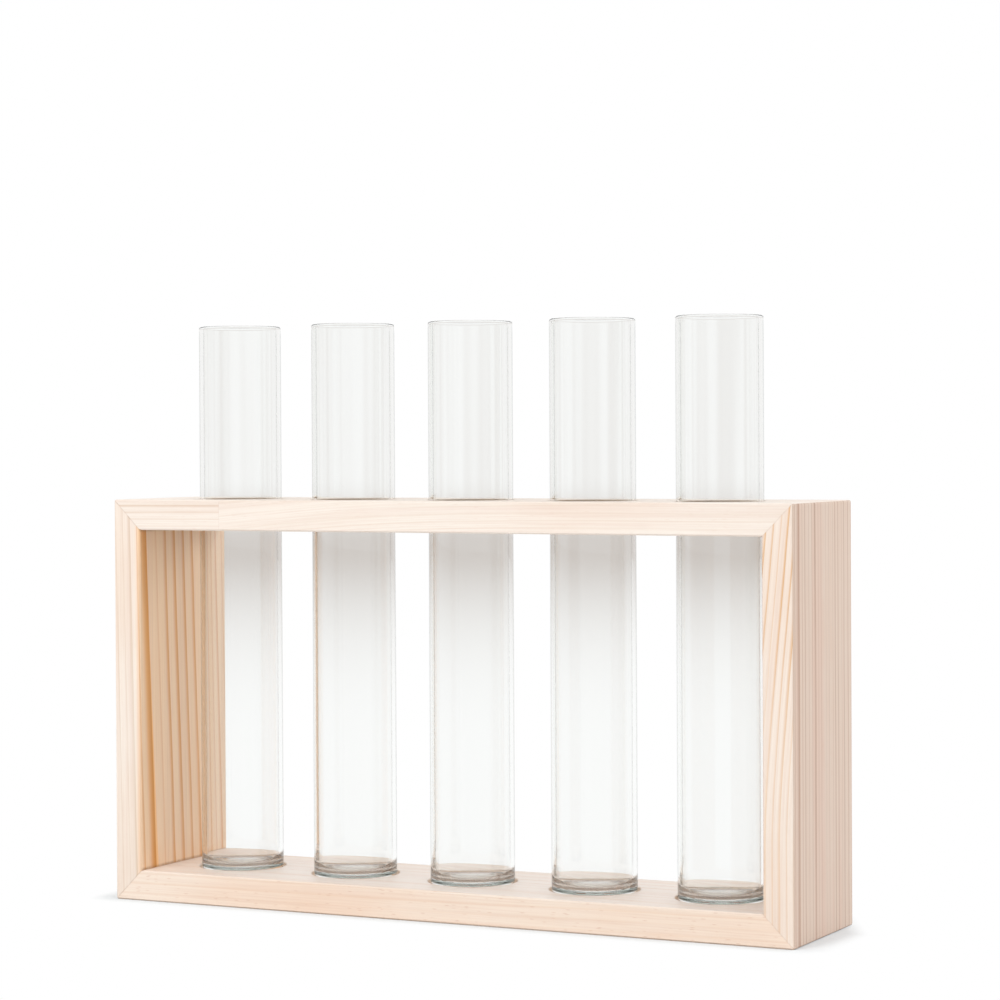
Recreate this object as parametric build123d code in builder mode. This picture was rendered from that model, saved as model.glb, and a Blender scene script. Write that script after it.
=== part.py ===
"""Test tube vase: a mitred pine frame that carries a row of loose flat-bottomed glass tubes.

Millimetres. The origin is the middle of the underside, +X runs along the row of tubes,
-Y is the front and +Z is up.
"""

import os

from build123d import *

# Glass tubes
tube_count = 5
tube_diameter = 30.0
tube_length = 200.0
glass_wall = 1.6
lip_ease = 0.45
base_thickness = 2.6
heel_radius = 2.4
inner_corner_radius = 4.5
foot_ring_width = 3.5
foot_ring_slope = 3.0
base_hollow = 0.5
heel_flat_count = 2
inner_corner_flat_count = 3

# Room around the tubes
tube_gap = 17.5
end_gap = 11.0
face_margin = 13.0
hole_clearance = 0.5
recess_clearance = 0.9
recess_depth = 2.0

# Pine boards
board_thickness = 11.0
frame_height = 146.0
corner_radius = 0.8
arris_ease = 0.5
hole_ease = 0.3

# Corner brads
brad_thickness = 1.0
brad_width = 1.25
brad_length = 24.0
brad_point = 1.6
brad_head_width = 2.0
brad_head_thickness = 0.8
brad_set_depth = 0.4
brad_edge_distance = 11.0
brad_clearance = 0.02

# Sizes that follow from the ones above
tube_radius = tube_diameter / 2
bore_radius = tube_radius - glass_wall
tube_pitch = tube_diameter + tube_gap
row_length = (tube_count - 1) * tube_pitch
inner_width = row_length + tube_diameter + 2 * end_gap
inner_height = frame_height - 2 * board_thickness
frame_width = inner_width + 2 * board_thickness
frame_depth = tube_diameter + 2 * face_margin
outer_x = frame_width / 2
inner_x = inner_width / 2
inner_top = frame_height - board_thickness
recess_floor = board_thickness - recess_depth

# Planes through the brads' axes, with their origins where the brads enter the rails' outer faces
brad_x = outer_x - board_thickness / 2
brad_y = frame_depth / 2 - brad_edge_distance
brad_planes = [
    Plane(origin=(x, y, height), x_dir=(1, 0, 0), z_dir=(0, -outward, 0))
    for height, outward in ((frame_height, 1), (0, -1))
    for x in (-brad_x, brad_x)
    for y in (-brad_y, brad_y)
]

os.makedirs("parts", exist_ok=True)


def driven_brads(head_top, clearance):
    """All the corner brads or, with a clearance and the heads carried up to the face, their holes."""
    head = brad_head_width / 2 + clearance
    shank = brad_thickness / 2 + clearance
    head_seat = -brad_set_depth - brad_head_thickness - clearance
    point_start = brad_point - brad_length
    tip = -brad_length - clearance
    with BuildPart() as brads:
        for plane in brad_planes:
            with BuildSketch(plane):
                with BuildLine():
                    Polyline(
                        (-head, head_top),
                        (head, head_top),
                        (head, head_seat),
                        (shank, head_seat),
                        (shank, point_start),
                        (0, tip),
                        (-shank, point_start),
                        (-shank, head_seat),
                        (-head, head_seat),
                        close=True,
                    )
                make_face()
            extrude(amount=brad_width / 2 + clearance, both=True)
    return brads.part


brad_holes = driven_brads(brad_set_depth, brad_clearance)

# The whole frame as it is sanded once glued: outer corners a little rounded and arrises eased
with BuildPart() as sanded_frame:
    with BuildSketch(Plane.XZ):
        with Locations((0, frame_height / 2)):
            RectangleRounded(frame_width, frame_height, corner_radius)
            Rectangle(inner_width, inner_height, mode=Mode.SUBTRACT)
    extrude(amount=frame_depth / 2, both=True)
    chamfer(sanded_frame.faces().filter_by(Axis.Y).edges(), arris_ease)

# Top rail, with a through-hole for each tube
with BuildPart() as top_rail:
    with BuildSketch(Plane.XZ):
        with BuildLine():
            Polyline(
                (-outer_x, frame_height),
                (outer_x, frame_height),
                (inner_x, inner_top),
                (-inner_x, inner_top),
                close=True,
            )
        make_face()
    extrude(amount=frame_depth / 2, both=True)
    add(sanded_frame.part, mode=Mode.INTERSECT)
    with BuildSketch(Plane.XY.offset(frame_height)):
        with GridLocations(tube_pitch, frame_depth, tube_count, 1):
            Circle(tube_radius + hole_clearance)
    extrude(amount=-board_thickness, mode=Mode.SUBTRACT)
    chamfer(top_rail.edges().filter_by(GeomType.CIRCLE).group_by(SortBy.RADIUS)[-1], hole_ease)
    add(brad_holes, mode=Mode.SUBTRACT)
top_rail.part.label = "top_rail"
export_step(top_rail.part, "parts/top_rail.step")

# Bottom rail, with a shallow recess that each tube stands in
with BuildPart() as bottom_rail:
    with BuildSketch(Plane.XZ):
        with BuildLine():
            Polyline(
                (-outer_x, 0),
                (outer_x, 0),
                (inner_x, board_thickness),
                (-inner_x, board_thickness),
                close=True,
            )
        make_face()
    extrude(amount=frame_depth / 2, both=True)
    add(sanded_frame.part, mode=Mode.INTERSECT)
    with BuildSketch(Plane.XY.offset(board_thickness)):
        with GridLocations(tube_pitch, frame_depth, tube_count, 1):
            Circle(tube_radius + recess_clearance)
    extrude(amount=-recess_depth, mode=Mode.SUBTRACT)
    recess_edges = bottom_rail.edges().filter_by(GeomType.CIRCLE).group_by(SortBy.RADIUS)[-1]
    chamfer(recess_edges.group_by(Axis.Z)[-1], hole_ease)
    add(brad_holes, mode=Mode.SUBTRACT)
bottom_rail.part.label = "bottom_rail"
export_step(bottom_rail.part, "parts/bottom_rail.step")

# Posts at the two ends
for name, side in (("left_post", -1), ("right_post", 1)):
    with BuildPart() as post:
        with BuildSketch(Plane.XZ):
            with BuildLine():
                Polyline(
                    (side * outer_x, 0),
                    (side * outer_x, frame_height),
                    (side * inner_x, inner_top),
                    (side * inner_x, board_thickness),
                    close=True,
                )
            make_face()
        extrude(amount=frame_depth / 2, both=True)
        add(sanded_frame.part, mode=Mode.INTERSECT)
        add(brad_holes, mode=Mode.SUBTRACT)
    post.part.label = name
    export_step(post.part, f"parts/{name}.step")

# Headed steel brads that pin the glued mitres, set just below the faces they are driven through
corner_brads = driven_brads(-brad_set_depth, 0)
corner_brads.label = "corner_brads"
export_step(corner_brads, "parts/corner_brads.step")


def rounding(center, radius, start_angle, sweep, flat_count):
    """Points along a rounding of the glass, which is cut in a few flats to keep the mesh light."""
    arc = CenterArc(center, radius, start_angle, sweep)
    return [arc @ (step / flat_count) for step in range(flat_count + 1)]


# Glass tubes: fire-polished lip eased on both sides, rounded heel and a foot ring around a hollow base
lip_edge = tube_length - lip_ease
foot_edge = tube_radius - heel_radius
ring_edge = foot_edge - foot_ring_width
floor_edge = bore_radius - inner_corner_radius
corner_top = base_thickness + inner_corner_radius
tube_profile = [
    (0, base_hollow),
    (ring_edge - foot_ring_slope, base_hollow),
    (ring_edge, 0),
    *rounding((foot_edge, heel_radius), heel_radius, -90, 90, heel_flat_count),
    (tube_radius, lip_edge),
    (tube_radius - lip_ease, tube_length),
    (bore_radius + lip_ease, tube_length),
    (bore_radius, lip_edge),
    *rounding((floor_edge, corner_top), inner_corner_radius, 0, -90, inner_corner_flat_count),
    (0, base_thickness),
]
for number in range(1, tube_count + 1):
    tube_x = (number - 1) * tube_pitch - row_length / 2
    tube_plane = Plane(origin=(tube_x, 0, recess_floor), x_dir=(1, 0, 0), z_dir=(0, -1, 0))
    with BuildPart() as glass_tube:
        with BuildSketch(tube_plane):
            with BuildLine():
                Polyline(*tube_profile, close=True)
            make_face()
        revolve(axis=Axis(tube_plane.origin, tube_plane.y_dir))
    glass_tube.part.label = f"glass_tube_{number}"
    export_step(glass_tube.part, f"parts/glass_tube_{number}.step")
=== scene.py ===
"""Test tube vase: the looks of a mitred pine frame with a row of loose glass tubes.

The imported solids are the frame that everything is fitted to, in metres, with -Y at the front.
"""

import math

import bmesh
import bpy
from mathutils import Matrix, Vector


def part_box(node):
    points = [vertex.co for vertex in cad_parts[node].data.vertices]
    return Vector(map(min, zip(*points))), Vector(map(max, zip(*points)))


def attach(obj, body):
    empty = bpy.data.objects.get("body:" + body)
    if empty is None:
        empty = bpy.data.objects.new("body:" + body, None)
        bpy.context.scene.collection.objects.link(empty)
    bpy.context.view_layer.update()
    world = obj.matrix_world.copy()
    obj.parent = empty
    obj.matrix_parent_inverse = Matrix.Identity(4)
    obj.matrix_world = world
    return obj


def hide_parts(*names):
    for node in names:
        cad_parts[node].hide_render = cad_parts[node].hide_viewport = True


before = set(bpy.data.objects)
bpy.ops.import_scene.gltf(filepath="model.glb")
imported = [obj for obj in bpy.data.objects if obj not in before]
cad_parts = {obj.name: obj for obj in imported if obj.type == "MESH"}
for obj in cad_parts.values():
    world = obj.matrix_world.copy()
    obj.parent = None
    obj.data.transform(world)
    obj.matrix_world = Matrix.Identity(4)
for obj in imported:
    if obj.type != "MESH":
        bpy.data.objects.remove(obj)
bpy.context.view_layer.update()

# Bottom rail: one planed pine board with a shallow round recess under each tube.
# Both ends are mitred and glued to the posts, and it lies flat on the table.
# The boards' sizes and their wood are in millimetres.
frame_half_width = 132.0
frame_half_depth = 28.0
frame_mid_height = 73.0
board_thickness = 11.0


class Shade:
    """A shader socket as a Python value: an operator adds a Math node, and node() adds any other node."""

    def __init__(self, tree, socket=None):
        self.tree = tree
        self.socket = socket

    def node(self, kind, settings, inputs, output=0):
        made = self.tree.nodes.new("ShaderNode" + kind)
        for name, value in settings.items():
            setattr(made, name, value)
        for key, value in inputs.items():
            if isinstance(value, Shade):
                value.feed(made, key)
            else:
                made.inputs[key].default_value = value
        return Shade(self.tree, made.outputs[output])

    def feed(self, target, key):
        self.tree.links.new(self.socket, target.inputs[key])

    def math(self, operation, *values):
        return self.node("Math", {"operation": operation}, dict(enumerate(values)))

    def vector(self, operation, *values, output="Vector"):
        return self.node("VectorMath", {"operation": operation}, dict(enumerate(values)), output)

    def part(self, axis):
        return self.node("SeparateXYZ", {}, {"Vector": self}, axis)

    def smooth(self, low, high):
        ends = {"Value": self, "From Min": low, "From Max": high}
        return self.node("MapRange", {"interpolation_type": "SMOOTHSTEP"}, ends)

    def mix(self, share, first, second):
        return self.node("Mix", {"data_type": "RGBA"}, {0: share, 6: first, 7: second}, 2)

    def __add__(self, other):
        return self.math("ADD", self, other)

    def __sub__(self, other):
        return self.math("SUBTRACT", self, other)

    def __rsub__(self, other):
        return self.math("SUBTRACT", other, self)

    def __mul__(self, other):
        return self.math("MULTIPLY", self, other)

    def __truediv__(self, other):
        return self.math("DIVIDE", self, other)

    __radd__ = __add__
    __rmul__ = __mul__


def paint(red, green, blue):
    """A screen colour from 0 to 255 as the linear colour that shaders take."""
    shares = [channel / 255 for channel in (red, green, blue)]
    return tuple(s / 12.92 if s <= 0.04045 else ((s + 0.055) / 1.055) ** 2.4 for s in shares) + (1.0,)


def stretched(shade, place, grain, length, width):
    """A place in units of a mark's length along the grain and of its width across it."""
    size = [1 / width] * 3
    size[grain] = 1 / length
    return shade.vector("MULTIPLY", place, tuple(size))


def late_wood(shade, radius, ring_width, seed):
    """The dark late wood that ends each year ring, broad in some years and faint in others."""
    ring = radius / ring_width
    share = shade.math("FRACT", ring)
    year = shade.math("FLOOR", ring)
    vigour = shade.node("TexWhiteNoise", {"noise_dimensions": "1D"}, {"W": year + seed})
    onset = 0.74 - 0.58 * vigour * vigour * vigour
    return share.smooth(onset, 0.92) * (1 - share.smooth(0.95, 1.0)) * (0.25 + 0.75 * vigour)


def resin_flecks(shade, place, grain):
    """Short brown flecks along the grain, kept in some of their cells only."""
    cells = {"Vector": stretched(shade, place, grain, 4.2, 0.8), "Scale": 1.0}
    flecks = 1 - shade.node("TexVoronoi", {}, cells, "Distance").smooth(0.10, 0.30)
    chance = shade.node("SeparateColor", {}, {"Color": shade.node("TexVoronoi", {}, cells, "Color")}, "Red")
    return flecks * chance.smooth(0.4, 0.75)


def glued_mitres_and_corner_shade(shade, place, patchy):
    """The glue lines where boards meet at 45 degrees, widened and darkened with painted shade in the corners
    inside the frame.
    """
    side = place.part("X")
    from_side = frame_half_width - shade.math("ABSOLUTE", side)
    from_end = frame_mid_height - shade.math("ABSOLUTE", place.part("Z") - frame_mid_height)
    # Painted shade: in the corners inside the frame the glue line is widened and darkened for the shade in
    # the joint.
    inside = shade.math("MINIMUM", from_side, from_end).smooth(board_thickness - 0.4, board_thickness - 0.1)
    seam = 1 - shade.math("ABSOLUTE", from_side - from_end).smooth(0.05, 0.5 + 0.7 * inside)
    seam = seam * (0.16 + 0.40 * patchy + 0.44 * inside)
    return seam * (1 - 0.4 * side.smooth(60.0, 120.0))


def pine(board_name, grain, pith, lean, ring_width, wander, figure, fleck, pale, warm, seed, cut):
    """Solid pine for one board: year rings about a pith line outside it, fibres, flecks and glued mitres.

    Painted shade darkens the mitres' inside corners and the wood just above the table. The grain is 0 along
    X or 2 along Z, and lean tilts the pith line off it. The cut says how the board was sawn: the late wood's
    colour and strength, where the rings are read, where painted light tints a face paler or painted shade
    darker, where rosy bands show, and where glue leaves a line or a bore's wall is darkened, partly with
    painted shade.
    """
    material = bpy.data.materials.new(board_name + "_pine")
    material.use_nodes = True
    surface = material.node_tree.nodes["Principled BSDF"]
    shade = Shade(material.node_tree)
    place = shade.vector("MULTIPLY", shade.node("TexCoord", {}, {}, "Object"), (1000, 1000, 1000))
    sawn = {"rings": place, "strength": 1.0, "painted_light_share": 0.0, "painted_light_tint": pale, "rosy": 0.10, "line": 0.0}
    sawn.update(cut(shade, place))
    bent = sawn["rings"]

    def streaks(length, width, detail, offset):
        spots = {"Vector": stretched(shade, bent, grain, length, width), "W": seed + offset}
        spots.update({"Scale": 1.0, "Detail": detail})
        return shade.node("TexNoise", {"noise_dimensions": "4D"}, spots)

    axis = Vector(lean).normalized()
    from_pith = shade.vector("SUBTRACT", bent, pith)
    along = shade.vector("DOT_PRODUCT", from_pith, axis, output="Value")
    on_axis = shade.node("VectorMath", {"operation": "SCALE"}, {0: axis, "Scale": along})
    radius = shade.vector("LENGTH", shade.vector("SUBTRACT", from_pith, on_axis), output="Value")
    radius = radius + (streaks(130, 36, 1, 1) - 0.5) * wander + (streaks(28, 9, 1, 2) - 0.5) * (wander * 0.3)
    late = late_wood(shade, radius, ring_width, seed)
    late = late * (0.6 + 0.8 * streaks(70, 16, 1, 3)) * sawn["strength"] * figure
    fibre = streaks(18, 0.5, 3, 4)
    hair = streaks(5, 0.22, 2, 5)
    cloud = streaks(75, 22, 2, 6).smooth(0.35, 0.68)
    threads = streaks(120, 0.8, 2, 8)
    rosy = streaks(240, 4.5, 1, 9).smooth(0.5, 0.68)
    flecks = resin_flecks(shade, bent, grain) * fleck
    seam = glued_mitres_and_corner_shade(shade, place, streaks(2, 2, 2, 7).smooth(0.35, 0.65))
    # A cut's line joins the glue lines here; on the top rail it carries the bores' painted shade.
    seam = shade.math("MAXIMUM", seam, sawn["line"])
    facing = shade.node("NewGeometry", {}, {}, "Normal")
    end_grain = shade.vector("DOT_PRODUCT", facing, axis, output="Value")
    end_grain = shade.math("ABSOLUTE", end_grain).smooth(0.45, 1.0)
    # Painted contact shade: the wood is darkened brown within 0.7 mm of the table.
    painted_contact_shade = 1 - place.part("Z").smooth(0.1, 0.7)

    layers = (
        (sawn["painted_light_share"], sawn["painted_light_tint"]),
        (rosy * sawn["rosy"], paint(214, 166, 146)),
        (late, sawn["dark"]),
        ((fibre - 0.5) * 0.4 + (threads - 0.5) * 0.65 + 0.07, paint(208, 166, 140)),
        (flecks, paint(196, 140, 104)),
        (end_grain * 0.30, paint(190, 148, 108)),
        (seam * 0.62, paint(158, 112, 72)),
        (painted_contact_shade * 0.5, paint(140, 108, 84)),
    )
    colour = shade.mix(cloud, pale, warm)
    for share, layer_colour in layers:
        colour = shade.mix(share, colour, layer_colour)
    rough = 0.43 + 0.2 * (fibre - 0.5) - 0.06 * late
    relief = fibre * 0.5 + hair * 0.35 - late * 0.4 - seam * 0.4
    bump = shade.node("Bump", {}, {"Strength": 0.30, "Distance": 0.00012, "Height": relief})
    colour.feed(surface, "Base Color")
    rough.feed(surface, "Roughness")
    bump.feed(surface, "Normal")
    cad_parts[board_name].material_slots[0].material = material


# Painted light: faces that look up, the rail's top and the recess floors, are tinted paler and greyer, a
# painted sheen for the light they catch from above.
def painted_light_upper_face(shade, place):
    upward = shade.node("NewGeometry", {}, {}, "Normal").part("Z")
    return {
        "dark": paint(222, 178, 136),
        "painted_light_share": upward.smooth(0.6, 0.9) * 0.85,
        "painted_light_tint": paint(250, 240, 232),
    }


pine(
    "bottom_rail",
    grain=0,
    pith=(0.0, -60.0, 150.0),
    lean=(1.0, 0.0, 0.012),
    ring_width=3.4,
    wander=2.0,
    figure=0.28,
    fleck=0.27,
    pale=paint(247, 232, 217),
    warm=paint(244, 220, 200),
    seed=3.0,
    cut=painted_light_upper_face,
)


# Left post: a short upright pine board, mitred at both ends and glued between the rails.
# Its year rings meet the face inside the frame at a low angle, so the late wood shows there as bold bands.
# Painted light: the inside face is tinted paler and warmer, most in one broad band, and its late wood is
# stronger and more orange, partly real grain and partly painted bounce light that lifts its shade.
def bold_grain_and_painted_light_inside(shade, place):
    inner_x = board_thickness - frame_half_width
    band_tilt = 0.063
    band_height = 131.0
    band_front = (-30.0, -25.0)
    band_back = (-24.6, -23.8)
    inner_face = place.part("X").smooth(inner_x - 2.5, inner_x - 0.2)
    leaning = place.part("Y") + band_tilt * (place.part("Z") - band_height)
    broad_band = leaning.smooth(*band_front) * (1 - leaning.smooth(*band_back))
    return {
        "dark": shade.mix(inner_face, paint(196, 162, 122), paint(218, 146, 64)),
        "strength": 0.42 + 0.58 * inner_face,
        "painted_light_share": inner_face * (0.52 + 0.43 * broad_band),
        "painted_light_tint": paint(251, 198, 136),
    }


pine(
    "left_post",
    grain=2,
    pith=(-497.2, -190.9, 131.0),
    lean=(0.0, -0.046, 1.0),
    ring_width=2.745,
    wander=0.7,
    figure=0.95,
    fleck=0.05,
    pale=paint(244, 233, 222),
    warm=paint(241, 225, 210),
    seed=1516.0,
    cut=bold_grain_and_painted_light_inside,
)


# Right post: the same board at the other end, cut from a piece with closer rings and fixed in the same way.
# On its front face the grain leans outwards towards the top, and its outer side is straight-grained.
# Painted shade: the outer side is tinted a darker pinkish grey, partly its own quarter-sawn tone and partly
# painted shade for a side the lamps light less.
def leaning_front_and_painted_shade_side(shade, place):
    lean_start = 34.0
    lean_ease = 30.0
    lean_slope = 0.105
    outer_shift = 72.0
    line_spread = 6.0
    depth = place.part("Y")
    height = place.part("Z")
    outer_side = shade.math("GREATER_THAN", place.part("X"), frame_half_width - 0.3)
    front = (1 - depth.smooth(0.4 - frame_half_depth, 4.0 - frame_half_depth)) * (1 - outer_side)
    rise = shade.math("MAXIMUM", height - lean_start, 0.0)
    lean_out = rise * rise / (rise + lean_ease) * lean_slope * front
    lines = {"W": depth / line_spread, "Scale": 1.0, "Detail": 1.0}
    uneven = shade.node("TexNoise", {"noise_dimensions": "1D"}, lines) * 3.4 + 0.25 * depth
    shift = {"X": lean_out + outer_shift * outer_side, "Y": uneven * outer_side}
    return {
        "rings": shade.vector("SUBTRACT", place, shade.node("CombineXYZ", {}, shift)),
        "dark": shade.mix(outer_side, paint(220, 166, 98), paint(172, 132, 108)),
        "strength": 0.62 + 0.6 * outer_side + 0.6 * front * height.smooth(55.0, 130.0),
        "painted_light_share": outer_side * 0.8,
        "painted_light_tint": paint(211, 189, 172),
        "rosy": 0.10 + 0.13 * outer_side,
    }


pine(
    "right_post",
    grain=2,
    pith=(60.0, -52.0, 73.0),
    lean=(0.0, 0.0, 1.0),
    ring_width=2.375,
    wander=1.1,
    figure=0.75,
    fleck=0.05,
    pale=paint(243, 230, 218),
    warm=paint(239, 220, 204),
    seed=516.0,
    cut=leaning_front_and_painted_shade_side,
)


# Top rail: a pine board of the same section, drilled with a round hole for each tube.
# It is finger-jointed from two lengths near its left end.
# Both its ends are mitred and glued to the posts.
tube_count = 5
tube_pitch = 47.5
hole_radius = 15.5


def finger_jointed(shade, place):
    joint_x = -87.25
    finger_pitch = 7.0
    finger_length = 9.0
    rail_top = 2 * frame_mid_height
    side = place.part("X")
    depth = place.part("Y")
    along_joint = shade.math("PINGPONG", depth + frame_half_depth, finger_pitch / 2)
    past_joint = side - joint_x - along_joint * (2 * finger_length / finger_pitch)
    right_length = shade.math("GREATER_THAN", past_joint, 0.0)
    climb = 1 - past_joint.smooth(-60.0, 150.0)
    rise = right_length * (7.5 - 10.0 * climb * climb)
    glue = (1 - shade.math("ABSOLUTE", past_joint).smooth(0.02, 0.22)) * 0.18
    from_hole = shade.math("WRAP", side, tube_pitch / 2, -tube_pitch / 2)
    from_hole = shade.node("CombineXYZ", {}, {"X": from_hole, "Y": depth})
    to_wall = shade.vector("LENGTH", from_hole, output="Value") - hole_radius
    # Painted shade: the bores' walls, darkest at their top edge, are darkened brown, partly the drill's
    # burnish and partly painted shade inside the holes.
    burnish_and_bore_shade = 1 - shade.math("ABSOLUTE", to_wall).smooth(0.05, 0.3)
    burnish_and_bore_shade = burnish_and_bore_shade * (0.25 + 0.75 * place.part("Z").smooth(rail_top - 1.2, rail_top - 0.4))
    in_row = shade.math("LESS_THAN", shade.math("ABSOLUTE", side), tube_count / 2 * tube_pitch)
    return {
        "rings": shade.vector("SUBTRACT", place, shade.node("CombineXYZ", {}, {"Z": rise})),
        "dark": paint(212, 182, 154),
        "strength": 1.5 - 0.95 * right_length,
        "line": shade.math("MAXIMUM", glue, burnish_and_bore_shade * in_row),
    }


pine(
    "top_rail",
    grain=0,
    pith=(0.0, -40.0, -120.0),
    lean=(1.0, 0.0, 0.004),
    ring_width=2.5,
    wander=1.2,
    figure=0.42,
    fleck=0.08,
    pale=paint(245, 236, 226),
    warm=paint(243, 230, 218),
    seed=37.0,
    cut=finger_jointed,
)

# Corner brads: eight bright steel brads of flattened wire with T-shaped heads.
# They are driven through the rails into the posts and set just below the wood's face.
brad_steel = bpy.data.materials.new("brad_steel_wire")
brad_steel.use_nodes = True
brad_surface = brad_steel.node_tree.nodes["Principled BSDF"]
shade = Shade(brad_steel.node_tree)
drawn = shade.vector("MULTIPLY", shade.node("TexCoord", {}, {}, "Object"), (9000, 9000, 300))
scratches = shade.node("TexNoise", {}, {"Vector": drawn, "Scale": 1.0, "Detail": 3.0})
shade.mix(scratches, paint(176, 177, 178), paint(214, 214, 212)).feed(brad_surface, "Base Color")
(0.22 + 0.25 * scratches).feed(brad_surface, "Roughness")
brad_surface.inputs["Metallic"].default_value = 1.0
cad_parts["corner_brads"].material_slots[0].material = brad_steel

# Glass tubes: clear drawn tubing with a fire-polished lip and a pressed flat base with a foot ring.
# Each stands loose in its recess and lifts out through the hole above it. Their sizes are in metres.
tube_radius = 0.015
tube_length = 0.2
glass_wall = 0.0016
base_thickness = 0.0026
heel_radius = 0.0024
inner_corner_radius = 0.0045
foot_ring_width = 0.0035
foot_ring_slope = 0.003
base_hollow = 0.0005
settle = 0.0002
turns = 256


def arc(centre, radius, start, end, steps):
    """Points of a rounding in the tube's profile, with angles in degrees."""
    points = []
    for step in range(steps + 1):
        angle = math.radians(start + (end - start) * step / steps)
        points.append((centre[0] + radius * math.cos(angle), centre[1] + radius * math.sin(angle)))
    return points


def lathe(name, profile, centre):
    """A closed mesh turned from a profile that starts and ends on the axis."""
    mesh = bmesh.new()
    rings = []
    for radius, height in profile[1:-1]:
        ring = []
        for turn in range(turns):
            angle = 2 * math.pi * turn / turns
            spot = (radius * math.cos(angle), radius * math.sin(angle), height)
            ring.append(mesh.verts.new(centre + Vector(spot)))
        rings.append(ring)
    first = mesh.verts.new(centre + Vector((0, 0, profile[0][1])))
    last = mesh.verts.new(centre + Vector((0, 0, profile[-1][1])))
    for turn in range(turns):
        after = (turn + 1) % turns
        mesh.faces.new((first, rings[0][after], rings[0][turn]))
        mesh.faces.new((last, rings[-1][turn], rings[-1][after]))
        for low, high in zip(rings, rings[1:]):
            mesh.faces.new((low[turn], low[after], high[after], high[turn]))
    for face in mesh.faces:
        face.smooth = True
    data = bpy.data.meshes.new(name)
    mesh.to_mesh(data)
    mesh.free()
    made = bpy.data.objects.new(name, data)
    bpy.context.scene.collection.objects.link(made)
    return made


bore_radius = tube_radius - glass_wall
lip_radius = glass_wall / 2
foot_edge = tube_radius - heel_radius
ring_edge = foot_edge - foot_ring_width
floor_edge = bore_radius - inner_corner_radius
inner_low = base_thickness + inner_corner_radius
lip_low = tube_length - lip_radius
tube_profile = [
    (0.0, base_hollow),
    (ring_edge - foot_ring_slope, base_hollow),
    (ring_edge - foot_ring_slope / 2, base_hollow / 2),
    (ring_edge, 0.0),
    (foot_edge - settle, 0.0),
    *arc((foot_edge, heel_radius), heel_radius, -90, 0, 12),
    (tube_radius, heel_radius + settle),
    (tube_radius, lip_low - settle),
    *arc((tube_radius - lip_radius, lip_low), lip_radius, 0, 180, 16),
    (bore_radius, lip_low - settle),
    (bore_radius, inner_low + settle),
    *arc((floor_edge, inner_low), inner_corner_radius, 0, -90, 14),
    (floor_edge - settle, base_thickness),
    (0.0, base_thickness),
]

clear_glass = bpy.data.materials.new("clear_tube_glass")
clear_glass.use_nodes = True
glass_surface = clear_glass.node_tree.nodes["Principled BSDF"]
glass_output = clear_glass.node_tree.nodes["Material Output"]
shade = Shade(clear_glass.node_tree)
clear = (0.985, 0.99, 0.985, 1.0)
drawn_streak = (0.97, 0.975, 0.97, 1.0)
edge_green_and_painted_shade = (0.07, 0.10, 0.08, 1.0)
wall_start = (0.012, 0.022)
lip_start = (0.2055, 0.2085)
glass_place = shade.node("TexCoord", {}, {}, "Object")
drawing = {"Vector": shade.vector("MULTIPLY", glass_place, (420, 420, 6)), "Scale": 1.0, "Detail": 2.0}
draw_lines = shade.node("TexNoise", {}, drawing)
haze = {"Vector": shade.vector("MULTIPLY", glass_place, (120, 120, 60)), "Scale": 1.0, "Detail": 4.0}
glass_rough = shade.node("TexNoise", {}, haze).smooth(0.5, 0.8) * 0.015
# Painted shade: where the glass is seen edge-on it is tinted dark green, partly the green of thick glass and
# partly painted shade for the dark surroundings the edges would show. It starts above the base and is weaker
# at the lip.
grazing = shade.node("LayerWeight", {}, {"Blend": 0.5}, "Facing").smooth(0.70, 0.97)
glass_height = glass_place.part("Z")
straight_wall = glass_height.smooth(*wall_start) * (1 - 0.7 * glass_height.smooth(*lip_start))
glass_colour = shade.mix(draw_lines, clear, drawn_streak)
shade.mix(grazing * straight_wall, glass_colour, edge_green_and_painted_shade).feed(glass_surface, "Base Color")
glass_rough.feed(glass_surface, "Roughness")
glass_surface.inputs["Transmission Weight"].default_value = 1.0
glass_surface.inputs["IOR"].default_value = 1.48
lamp_ray = shade.node("LightPath", {}, {}, "Is Shadow Ray")
refracting = Shade(clear_glass.node_tree, glass_surface.outputs[0])
through = shade.node("BsdfTransparent", {}, {"Color": (0.985, 0.99, 0.987, 1.0)})
shade.node("MixShader", {}, {0: lamp_ray, 1: refracting, 2: through}).feed(glass_output, "Surface")
soaking = {"Color": (0.60, 0.69, 0.64, 1.0), "Density": 4.5}
shade.node("VolumeAbsorption", {}, soaking).feed(glass_output, "Volume")

for number in range(1, tube_count + 1):
    node_name = "glass_tube_" + str(number)
    low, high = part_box(node_name)
    foot = Vector(((low.x + high.x) / 2, (low.y + high.y) / 2, low.z))
    tube = lathe("clear_tube_" + str(number), tube_profile, foot)
    tube.data.materials.append(clear_glass)
    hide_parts(node_name)
    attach(tube, "tube_" + str(number))

# Table: a plain white floor that keeps only the shadow close around the vase, which lies on it.
# Behind the vase it turns grey for light that comes through the glass, as the surroundings do.
floor_mesh = bpy.data.meshes.new("floor")
reach = 3.0
corners = [(-reach, -reach, 0.0), (reach, -reach, 0.0), (reach, reach, 0.0), (-reach, reach, 0.0)]
floor_mesh.from_pydata(corners, [], [(0, 1, 2, 3)])
floor = bpy.data.objects.new("floor", floor_mesh)
bpy.context.scene.collection.objects.link(floor)
backdrop_side = (-0.444, 0.896, 0.0)
backdrop_grey = paint(180, 167, 158)
white = (1.0, 1.0, 1.0, 1.0)
foot_half = (frame_half_width / 1000, frame_half_depth / 1000, 0.0)
shadow_middle = (0.0, 0.005, 0.0)
corner_side = (0.9, 0.44, 0.0)
shadow_fade = (0.003, 0.013)
corner_fade = (-0.005, 0.004)
grey_start = (0.5, 3.4)


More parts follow.
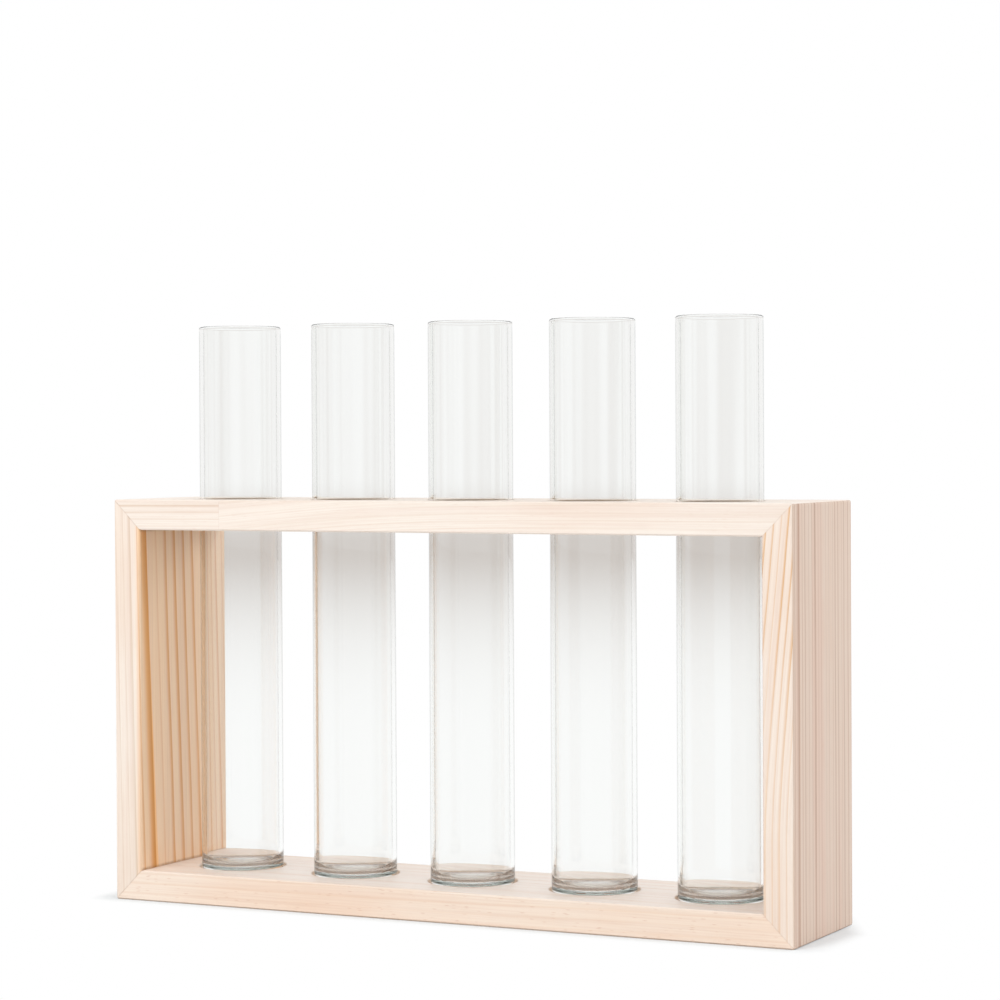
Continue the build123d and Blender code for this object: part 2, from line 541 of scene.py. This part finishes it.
def seen_directly(shade):
    """1 for what the eye sees, straight or by reflection or through glass, and 0 for light on the object."""
    camera = shade.node("LightPath", {}, {}, "Is Camera Ray")
    glossy = shade.node("LightPath", {}, {}, "Is Glossy Ray")
    passed = shade.node("LightPath", {}, {}, "Is Transmission Ray")
    return shade.math("MAXIMUM", camera, shade.math("MAXIMUM", glossy, passed))


white_floor = bpy.data.materials.new("white_floor")
white_floor.use_nodes = True
floor_output = white_floor.node_tree.nodes["Material Output"]
shade = Shade(white_floor.node_tree)
spot = shade.node("TexCoord", {}, {}, "Object")
beside = shade.vector("ABSOLUTE", shade.vector("SUBTRACT", spot, shadow_middle))
beside = shade.vector("SUBTRACT", beside, foot_half)
beside = shade.vector("MAXIMUM", beside, (0.0, 0.0, 0.0))
away = shade.vector("LENGTH", beside, output="Value").smooth(*shadow_fade)
from_corner = shade.vector("SUBTRACT", spot, foot_half)
past_corner = shade.vector("DOT_PRODUCT", from_corner, corner_side, output="Value")
away = shade.math("MAXIMUM", away, past_corner.smooth(*corner_fade))
behind = shade.vector("DOT_PRODUCT", spot, backdrop_side, output="Value")
passed = shade.node("LightPath", {}, {}, "Is Transmission Ray")
dimmed = 0.72 * behind.smooth(*grey_start) * passed
bounce = shade.node("BsdfDiffuse", {}, {"Color": (0.8, 0.8, 0.8, 1.0)})
glow = shade.node("Emission", {}, {"Color": (0.03, 0.07, 0.095, 1.0), "Strength": 1.0})
near = shade.node("AddShader", {}, {0: bounce, 1: glow})
grey_floor = shade.mix(dimmed, white, backdrop_grey)
plain = shade.node("Emission", {}, {"Color": grey_floor, "Strength": 1.0})
shown = shade.node("MixShader", {}, {0: away, 1: near, 2: plain})
floor_shader = shade.node("MixShader", {}, {0: seen_directly(shade), 1: bounce, 2: shown})
floor_shader.feed(floor_output, "Surface")
floor_mesh.materials.append(white_floor)

# Surroundings: the even light of a bright room, white wherever it is seen straight.
# A hanging of soft grey folds behind the vase shows through the glass alone.
surroundings = bpy.data.worlds.new("surroundings")
surroundings.use_nodes = True
bpy.context.scene.world = surroundings
world_output = surroundings.node_tree.nodes["World Output"]
shade = Shade(surroundings.node_tree)
hanging_foot = (-0.036, -0.012)
hanging_top = (0.1, 0.5)
hanging_side = (0.2, 0.8)
direction = shade.node("TexCoord", {}, {}, "Generated")
climb = direction.part("Z")
hung = {"Vector": shade.vector("MULTIPLY", direction, (24.0, 24.0, 3.0)), "Scale": 1.0, "Detail": 1.0}
folds = shade.node("TexNoise", {}, hung).smooth(0.32, 0.68)
above = climb.smooth(*hanging_foot)
horizon = 0.05 + 0.2 * folds * above + 0.63 * (1 - above)
behind = shade.vector("DOT_PRODUCT", direction, backdrop_side, output="Value").smooth(*hanging_side)
passed = shade.node("LightPath", {}, {}, "Is Transmission Ray")
veil = horizon * (1 - climb.smooth(*hanging_top)) * behind * passed
grey_wall = shade.mix(veil, white, backdrop_grey)
soft_light = shade.node("Background", {}, {"Color": (1.0, 0.99, 0.98, 1.0), "Strength": 0.82})
backdrop = shade.node("Background", {}, {"Color": grey_wall, "Strength": 1.0})
world_shader = shade.node("MixShader", {}, {0: seen_directly(shade), 1: soft_light, 2: backdrop})
world_shader.feed(world_output, "Surface")

# Lamps: soft panels, a strong one at the front left, a faint one on the right and a strong one behind.
# They face the middle of the vase and stay out of the glass, so that no hard streak crosses the tubes.
vase_middle = Vector((0.0, 0.0, 0.09))


def soft_lamp(name, place, width, length, energy):
    lamp_data = bpy.data.lights.new(name, "AREA")
    lamp_data.shape = "RECTANGLE"
    lamp_data.energy = energy
    lamp_data.size = width
    lamp_data.size_y = length
    lamp = bpy.data.objects.new(name, lamp_data)
    lamp.location = place
    lamp.rotation_mode = "QUATERNION"
    lamp.rotation_quaternion = (vase_middle - lamp.location).to_track_quat("-Z", "Y")
    lamp.visible_glossy = False
    lamp.visible_transmission = False
    bpy.context.scene.collection.objects.link(lamp)


soft_lamp("front_left_lamp", (-0.45, -1.3, 1.1), width=0.7, length=1.4, energy=9.6)
soft_lamp("right_lamp", (1.25, -0.95, 0.65), width=0.6, length=1.0, energy=1.0)
soft_lamp("back_lamp", (0.75, 1.3, 0.6), width=0.8, length=0.8, energy=9.5)

# Camera: a long lens at the height of the tubes, to the right of the front and almost level.
# Light runs a long way inside the tubes' walls before it comes out, so its paths may turn many times.
camera_place = (0.48052, -0.94404, 0.168)
yaw = math.radians(26.4156)
pitch = math.radians(0.6367)
roll = math.radians(-0.2898)
most_turns = 48
ahead = Vector((-math.sin(yaw) * math.cos(pitch), math.cos(yaw) * math.cos(pitch), -math.sin(pitch)))
level = Vector((math.cos(yaw), math.sin(yaw), 0.0))
upright = level.cross(ahead)
rightward = level * math.cos(roll) + upright * math.sin(roll)
upward = upright * math.cos(roll) - level * math.sin(roll)
lens = bpy.data.cameras.new("camera")
lens.lens = 107.745
lens.sensor_width = 36.0
lens.shift_y = -0.02939
camera = bpy.data.objects.new("camera", lens)
facing = Matrix((rightward, upward, -ahead)).transposed().to_4x4()
camera.matrix_world = Matrix.Translation(camera_place) @ facing
bpy.context.scene.collection.objects.link(camera)
bpy.context.scene.camera = camera
bpy.context.scene.view_settings.view_transform = "Standard"
bpy.context.scene.cycles.max_bounces = most_turns
bpy.context.scene.cycles.glossy_bounces = most_turns
bpy.context.scene.cycles.transmission_bounces = most_turns

bpy.context.view_layer.update()
